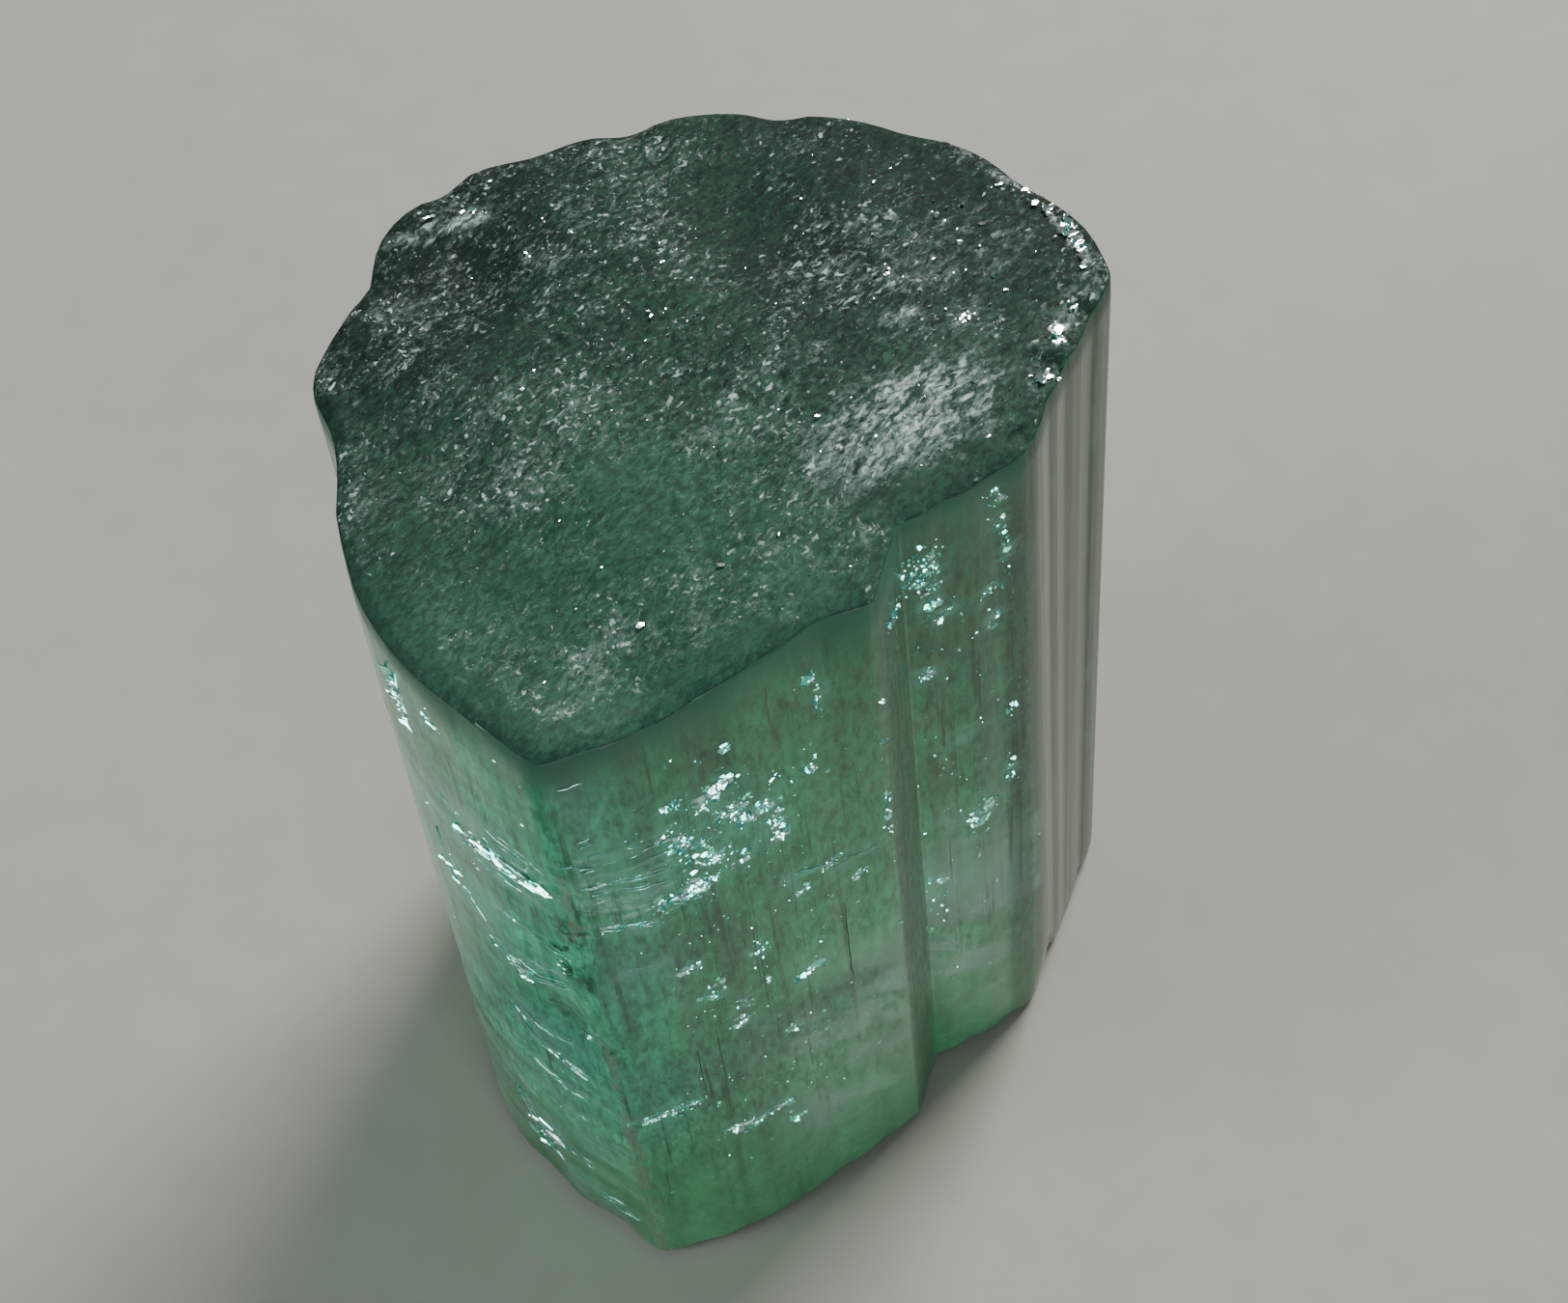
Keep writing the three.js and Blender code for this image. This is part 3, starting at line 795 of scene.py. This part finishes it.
def copy_of_solid(node, name):
    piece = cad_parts[node].copy()
    piece.data = piece.data.copy()
    piece.name = name
    for key in list(piece.keys()):
        del piece[key]
    piece.parent = None
    bpy.context.scene.collection.objects.link(piece)
    piece.data.materials.clear()
    return piece


def refine(piece):
    """Merges the loose triangles, pairs them into quads, keeps the arrises crisp and rounds the rest."""
    select_only(piece)
    bpy.ops.object.mode_set(mode="EDIT")
    bpy.ops.mesh.select_all(action="SELECT")
    bpy.ops.mesh.remove_doubles(threshold=WELD * MM)
    bpy.ops.mesh.tris_convert_to_quads(
        face_threshold=math.radians(60), shape_threshold=math.radians(60)
    )
    bpy.ops.mesh.select_all(action="DESELECT")
    bpy.ops.mesh.edges_select_sharp(sharpness=math.radians(26))
    bpy.ops.transform.edge_crease(value=0.9)
    bpy.ops.object.mode_set(mode="OBJECT")
    rounding = piece.modifiers.new("rounding", "SUBSURF")
    rounding.levels = rounding.render_levels = 2
    bpy.ops.object.modifier_apply(modifier=rounding.name)


def surface_arrays(mesh):
    """Every vertex's place in millimetres and its normal."""
    count = len(mesh.vertices)
    places = np.empty(count * 3)
    normals = np.empty(count * 3)
    mesh.vertices.foreach_get("co", places)
    mesh.vertex_normals.foreach_get("vector", normals)
    return places.reshape(-1, 3) / MM, normals.reshape(-1, 3)


def between(values, low, high):
    """Runs smoothly from 0 to 1 as the values go from low to high. High may be the smaller."""
    share = np.clip((values - low) / (high - low), 0, 1)
    return share * share * (3 - 2 * share)


def gap_to(points, places):
    """How far every place is from the nearest of these points, and which one that is."""
    tree = KDTree(len(points))
    for index, point in enumerate(points):
        tree.insert(point, index)
    tree.balance()
    found = [tree.find(place) for place in places]
    return np.array([gap for _, _, gap in found]), np.array([index for _, index, _ in found])


def paint(piece, name, weights):
    """Keeps these weights on the points for the material to read."""
    attribute = piece.data.attributes.new(name, "FLOAT", "POINT")
    attribute.data.foreach_set("value", weights.astype(np.float32))


WEIGHT_STEPS = 20


def gather(piece, name, weights):
    """A vertex group of these weights, rounded to so many steps, for a modifier to follow."""
    group = piece.vertex_groups.new(name=name)
    steps = np.round(weights * WEIGHT_STEPS).astype(int)
    for step in range(1, WEIGHT_STEPS + 1):
        chosen = np.nonzero(steps == step)[0]
        if len(chosen):
            group.add(chosen.tolist(), step / WEIGHT_STEPS, "REPLACE")


def relief(piece, name, kind, size, turn, depth, group, **settings):
    """Pushes the surface in and out by a noise whose grain has this size in millimetres along three
    axes, turned by these angles."""
    grain = bpy.data.objects.new("grain", None)
    bpy.context.scene.collection.objects.link(grain)
    grain.scale = [length * MM for length in size]
    grain.rotation_euler = [math.radians(angle) for angle in turn]
    texture = bpy.data.textures.new(name, kind)
    for key, value in settings.items():
        setattr(texture, key, value)
    push = piece.modifiers.new(name, "DISPLACE")
    push.texture = texture
    push.texture_coords = "OBJECT"
    push.texture_coords_object = grain
    push.strength = depth * MM
    push.mid_level = 0.5
    push.vertex_group = group
    bpy.context.view_layer.update()
    select_only(piece)
    bpy.ops.object.modifier_apply(modifier=push.name)
    bpy.data.objects.remove(grain)
    bpy.data.textures.remove(texture)


def paint_rim(piece, places, normals):
    """How far each point is from the rounded rim, and where the break is frosted: up to the rim, except
    along the front, where a clear band is left. Returns the frost."""
    up = normals[:, 2]
    on_rim = (up > 0.3) & (up < 0.75) & (places[:, 2] > RIM_LOWEST)
    to_rim, nearest = gap_to(places[on_rim], places)
    paint(piece, "rim_gap", to_rim)
    facing = normals[on_rim][nearest]
    band = 0.02 + 0.75 * between(-facing[:, 1], 0.1, 0.4) * between(facing[:, 0], 0.62, 0.45)
    frosted = between(to_rim, band * 0.35, band)
    paint(piece, "frosted", frosted)
    return frosted


def paint_rubbing(piece, places):
    """Where the front left arris is rubbed pale: in two stretches, and all down its foot."""
    x, y, z = places.T
    to_arris = gap_to(ARRISES, places)[0]
    rubbed = between(to_arris, 0.15, 0.03) * between(x, -2.15, -2.4) * between(y, -4.0, -4.5)
    heights = np.maximum(between(z, 9.6, 10.2) * between(z, 12.6, 11.8), between(z, 7.6, 7.2) * 0.8)
    worn_foot = between(to_arris, 0.26, 0.06) * between(x, -1.5, -2.0) * between(z, 5.0, 4.4) * 0.8
    paint(piece, "rubbed", np.maximum(rubbed * heights, worn_foot))


def paint_light_and_shade(piece, places, normals, front, left):
    """Painted light and shade, kept on the surface: darker high on the front, lighter towards the foot and
    in the left part below the rim, a painted glow round the big swarm of glints, and lighter then darker
    down the left face. Also the strips of painted shade: the step of the ledge, the column at the right end
    of the front, and a streak under the rim."""
    x, y, z = places.T
    up = normals[:, 2]
    # Strips of painted shade.
    step = between(normals[:, 0], 0.6, 0.85) * between(x, 2.15, 2.0) * between(y, -2.0, -2.3)
    column = between(x, 3.3, 3.55) * front
    streak = between(x, -0.72, -0.6) * between(x, -0.16, -0.28) * between(z, 12.1, 12.5) * front
    shaded = np.maximum(np.maximum(step, column), 0.7 * streak) * between(up, 0.5, 0.2)
    # Painted shade high on the front; painted light towards the foot, in the left part and as a glow round
    # the big swarm; lighter then darker down the left face.
    tone = 1 - 0.32 * front * between(x, -1.6, -0.4) * between(z, 8.0, 12.5)
    tone += 0.32 * between(z, 7.0, 4.5) + 0.2 * between(x, -0.8, -1.6) * between(z, 12.5, 10.5)
    tone += 0.3 * front * between(np.hypot(x + 0.75, 0.8 * (z - 11.1)), 0.9, 0.2)
    tone *= 1 + left * (0.12 * between(z, 10.5, 8.5) - 0.45 * between(z, 5.0, 2.0))
    paint(piece, "painted_light_and_shade", tone)
    paint(piece, "shaded", shaded)


def paint_hues(piece, places, normals, left):
    """Where the walls are the left and the right one, and where the green is bluer, milky or olive."""
    x, y, z = places.T
    forward = between(-normals[:, 1], 0.45, 0.7)
    paint(piece, "left_wall", left)
    paint(piece, "right_wall", between(normals[:, 0], 0.68, 0.8) * between(x, 3.4, 3.8))
    bluer = np.maximum(between(x, -1.0, -2.0), between(np.hypot(x + 0.6, 0.8 * (z - 11.0)), 1.6, 0.3))
    by_the_ledge = np.hypot((x - 2.3) / 0.22, (z - 13.0) / 0.5)
    bluer = np.maximum(bluer, 1.4 * between(by_the_ledge, 1.2, 0.6))
    paint(piece, "bluer", bluer * between(z, 2.0, 4.0))
    milky = between(z, 8.5, 5.0) * between(z, 1.2, 2.6) * between(x, -0.7, 0.5)
    paint(piece, "milky", milky * forward)
    olive = between(z, 6.0, 9.0) * between(x, -1.2, 0.2) * (1 - 0.6 * bluer.clip(0, 1))
    paint(piece, "olive", olive * forward)


FULL_SWARM = range(4, 50)  # a swarm that counts this many has a veil round it


def paint_veils(piece, places, front, left):
    """Where a milky veil lies round the cracks and the fuller swarms, and where the short dashes are."""
    x, y, z = places.T
    by_left = [(0, *point) for course, *_ in LEFT_CRACKS for point in along_course(course)]
    left_gap = gap_to(by_left, np.column_stack((0 * x, y, z)))[0]
    by_front = [(point[0], 0, point[1]) for course, *_ in FRONT_CRACKS for point in along_course(course)]
    by_front += [(across, 0, height) for across, height, *_, count, _ in GLINTS if count in FULL_SWARM]
    front_gap = gap_to(by_front, np.column_stack((x, 0 * y, z)))[0]
    veil = np.maximum(left * between(left_gap, 0.42, 0.05), front * between(front_gap, 0.32, 0.05))
    paint(piece, "veil", veil)
    dashed = front * between(x, -1.0, -1.3) * between(z, 9.7, 10.2) * between(z, 12.2, 11.6)
    paint(piece, "dashed", dashed)


# Where the pale patches lie on the break: frost, partly a painted glare.
def paint_pale_patches(piece, places, normals):
    x, y, _ = places.T
    pale = np.zeros(len(places))
    for across, behind, half_long, half_wide, turn, strength in PALE_SPOTS:
        cos, sin = math.cos(math.radians(turn)), math.sin(math.radians(turn))
        right, back = x - across, y - behind
        reach = np.hypot((right * cos + back * sin) / half_long, (back * cos - right * sin) / half_wide)
        pale = np.maximum(pale, strength * between(reach, 1.25, 0.5))
    paint(piece, "pale_patch", pale * between(normals[:, 2], 0.35, 0.7))


def rub_corner(piece):
    """Smooths the points of the group called corner."""
    rubbing = piece.modifiers.new("rubbed corner", "SMOOTH")
    rubbing.factor = 0.5
    rubbing.iterations = 90
    rubbing.vertex_group = "corner"
    select_only(piece)
    bpy.ops.object.modifier_apply(modifier=rubbing.name)


def crystal_surface():
    """The solid's own shape, smooth and finer, with its striae, the hackly break and small chips."""
    piece = copy_of_solid("tourmaline_crystal", "crystal_surface")
    refine(piece)
    places, normals = surface_arrays(piece.data)
    x, y, z = places.T
    up = normals[:, 2]
    front = between(-normals[:, 1], 0.6, 0.75)
    left = between(-normals[:, 0], 0.45, 0.7) * between(y, 1.0, -1.5)
    frosted = paint_rim(piece, places, normals)
    paint_rubbing(piece, places)
    paint_light_and_shade(piece, places, normals, front, left)
    paint_hues(piece, places, normals, left)
    paint_veils(piece, places, front, left)
    paint_pale_patches(piece, places, normals)

    top = between(up, 0.5, 0.8) * between(z, RIM_LOWEST, 13.2)
    walls = between(1 - np.abs(up), 0.4, 0.8)
    gather(piece, "break", top * frosted)
    gather(piece, "faces", walls)
    chips = np.zeros(len(places))
    for *middle, reach in ARRIS_CHIPS:
        chips = np.maximum(chips, between(np.linalg.norm(places - middle, axis=1) / reach, 1, 0.35))
    paint(piece, "chipped", chips)
    gather(piece, "chips", chips)
    corner = between(np.hypot(x + 2.5, y + 5.0), 0.9, 0.4) * between(z, 7.0, 11.5)
    ledge = between(np.hypot(x - 1.75, y + 3.05), 0.8, 0.3) * 0.6
    gather(piece, "corner", np.maximum(corner, ledge * walls))

    rub_corner(piece)
    relief(piece, "chips", "CLOUDS", (0.16, 0.16, 0.12), (0, 0, 0), 0.2, "chips",
           noise_scale=1, noise_depth=2)
    relief(piece, "bands", "CLOUDS", (0.55, 0.55, 60), (0, 0, 17), 0.02, "faces",
           noise_scale=1, noise_basis="CELL_NOISE", noise_depth=0)
    relief(piece, "striae", "CLOUDS", (0.2, 0.2, 40), (0, 0, 40), 0.012, "faces",
           noise_scale=1, noise_depth=1)
    relief(piece, "break", "CLOUDS", (0.8, 0.45, 0.5), (0, 0, 33), 0.10, "break",
           noise_scale=1, noise_depth=3)
    relief(piece, "hackle", "CLOUDS", (0.26, 0.14, 0.26), (0, 0, 33), 0.05, "break",
           noise_scale=1, noise_basis="VORONOI_F2_F1", noise_depth=0)
    bpy.ops.object.shade_smooth_by_angle(angle=math.radians(35))

    # The break and the underside take the second material.
    piece.data.materials.append(tourmaline())
    piece.data.materials.append(broken_tourmaline())
    broken = [
        1 if np.mean(top[list(face.vertices)]) > 0.5 or face.normal.z < -0.6 else 0
        for face in piece.data.polygons
    ]
    piece.data.polygons.foreach_set("material_index", broken)
    dress(piece)


# ---- What lies inside ----


def join_as(pieces, name, material):
    bpy.ops.object.select_all(action="DESELECT")
    for piece in pieces:
        piece.select_set(True)
    bpy.context.view_layer.objects.active = pieces[0]
    bpy.ops.object.join()
    piece = bpy.context.object
    piece.name = name
    piece.data.materials.clear()
    piece.data.materials.append(material)
    dress(piece)


def flake_pattern(seed):
    """One thin angular flake a millimetre across, its outline uneven."""
    bpy.ops.object.select_all(action="DESELECT")
    bpy.ops.mesh.primitive_cylinder_add(vertices=5 + seed % 2, radius=0.5 * MM, depth=0.12 * MM)
    flake = bpy.context.object
    bpy.ops.object.mode_set(mode="EDIT")
    bpy.ops.mesh.select_all(action="SELECT")
    bpy.ops.transform.vertex_random(offset=0.11 * MM, uniform=0.2, seed=seed)
    bpy.ops.object.mode_set(mode="OBJECT")
    return flake


def scatter(pattern, spot, upward, along, length, width, tilt, spread, dice):
    """A copy of the pattern with its own mesh, laid at a spot with its length along a direction."""
    piece = pattern.copy()
    piece.data = pattern.data.copy()
    bpy.context.scene.collection.objects.link(piece)
    ahead = (along - upward * along.dot(upward)).normalized()
    facing = Matrix((ahead, upward.cross(ahead), upward)).transposed().to_4x4()
    lean = Euler((dice.gauss(0, tilt), dice.gauss(0, tilt), dice.gauss(0, spread)))
    size = Matrix.Diagonal((length, width, (length + width) / 2, 1))
    piece.data.transform(Matrix.Translation(spot) @ facing @ lean.to_matrix().to_4x4() @ size)
    return piece


# Which way the flakes of each face lie: those that break the surface, then those just behind it, and the
# way their length runs.
FRONT_SHINE = Vector((0.22, -0.77, 0.60)), Vector((0.32, -0.88, 0.35)), Vector((1, 0.4, 0.3))
LEFT_SHINE = Vector((-0.46, -0.45, 0.77)), Vector((-0.70, -0.58, 0.42)), Vector((0.67, -0.74, 0.05))
TOP_SHINE = Vector((0.29, -0.06, 0.95)), Vector((0.29, -0.06, 0.95)), Vector((0.72, 0.69, 0))

LENGTHS = (0.3, 0.4, 0.5, 0.9)  # a flake's length is one of these shares of what its swarm gives
DEEPER_LENGTH = 1.8  # and longer by this much where it lies behind the surface


def healed_cracks():
    """Mirror-bright flakes in the front and left faces and on the break."""
    dice = random.Random(11)
    patterns = [flake_pattern(seed) for seed in range(4)]
    flakes = []
    for spot_on, swarms, by, shine, open_share, slimness, tilt, spread in (
        (front_spot, GLINTS, 4, FRONT_SHINE, 0.6, (0.35, 0.8), 0.09, 0.9),
        (left_spot, LEFT_GLINTS, 1, LEFT_SHINE, 0.8, (0.10, 0.22), 0.06, 0.1),
        (top_spot, TOP_GLINTS, 1, TOP_SHINE, 1.0, (0.3, 0.6), 0.2, 0.4),
    ):
        proud_shine, deep_shine, along = shine
        for across, onward, wide, tall, count, size in swarms:
            for _ in range(by * count):
                proud = dice.random() < open_share
                depth = dice.uniform(-0.012, 0.006) if proud else dice.uniform(0.01, 0.04)
                spot, out = spot_on(dice.gauss(across, wide), dice.gauss(onward, tall), depth)
                if spot is None or (out.z > 0.3) != (spot_on is top_spot):
                    continue
                length = size * dice.choice(LENGTHS) * (1.0 if proud else DEEPER_LENGTH)
                upward = proud_shine if proud else deep_shine
                pattern = dice.choice(patterns)
                width = length * dice.uniform(*slimness)
                flakes.append(scatter(pattern, spot, upward, along, length, width, tilt, spread, dice))
    join_as(flakes, "healed_cracks", healed_crack())
    for pattern in patterns:
        bpy.data.objects.remove(pattern)


def thread(points, width):
    """A closed thread through these points that swells in the middle and tapers to its ends."""
    line = bpy.data.curves.new("thread", "CURVE")
    line.dimensions = "3D"
    line.bevel_depth = width / 2 * MM
    line.bevel_resolution = 0
    line.twist_mode = "Z_UP"
    line.use_fill_caps = True
    spline = line.splines.new("POLY")
    spline.points.add(len(points) - 1)
    for index, (point, spot) in enumerate(zip(spline.points, points)):
        point.co = (*spot, 1)
        point.radius = 0.25 + 0.75 * math.sin(math.pi * (index + 0.5) / len(points)) ** 0.6
    piece = bpy.data.objects.new("thread", line)
    bpy.context.scene.collection.objects.link(piece)
    select_only(piece)
    bpy.ops.object.convert(target="MESH")
    return bpy.context.object


def wall_thread(spot_on, course, width, depth, dice, wander):
    """A thread along a course on a wall, its outer side at this depth. It wanders less across than up."""
    spots = []
    for across, height in along_course(course):
        spot, _ = spot_on(
            across + dice.gauss(0, wander * 0.4), height + dice.gauss(0, wander), depth + width / 2
        )
        if spot is not None:
            spots.append(spot)
    return thread(spots, width)


def crack_edges():
    """Bright edges of the cracks that cross the crystal level, seen in the left and front faces."""
    dice = random.Random(5)
    threads = []
    for spot_on, cracks, wander in ((left_spot, LEFT_CRACKS, 0.02), (front_spot, FRONT_CRACKS, 0.015)):
        for course, width, strands, apart in cracks:
            for _ in range(strands):
                slip = dice.gauss(0, 1.5 * apart)
                drop = dice.gauss(0, apart)
                moved = [(across + slip, height + drop) for across, height in course]
                strand = width * dice.uniform(0.4, 1.1)
                threads.append(wall_thread(spot_on, moved, strand, -0.5 * strand, dice, wander))
    join_as(threads, "crack_edges", healed_crack())


def dark_lines():
    """Fine dark tubes along the length, close under the front faces, and the lips of the chips."""
    dice = random.Random(8)
    lines = []
    for across, low, high, width in DARK_TUBES:
        course = ((across, low), (across, high))
        lines.append(wall_thread(front_spot, course, width, 0.0, dice, wander=0.008))
    for back, height, wide, tall, first, last, width in CHIP_LIPS:
        turns = [math.radians(first + (last - first) * step / 8) for step in range(9)]
        course = [(back + wide * math.cos(turn), height + tall * math.sin(turn)) for turn in turns]
        lines.append(wall_thread(left_spot, course, width, -0.3 * width, dice, wander=0.015))
    join_as(lines, "dark_lines", growth_tube())


add_camera()
add_lights()
add_floor()
crystal_surface()
healed_cracks()
crack_edges()
dark_lines()
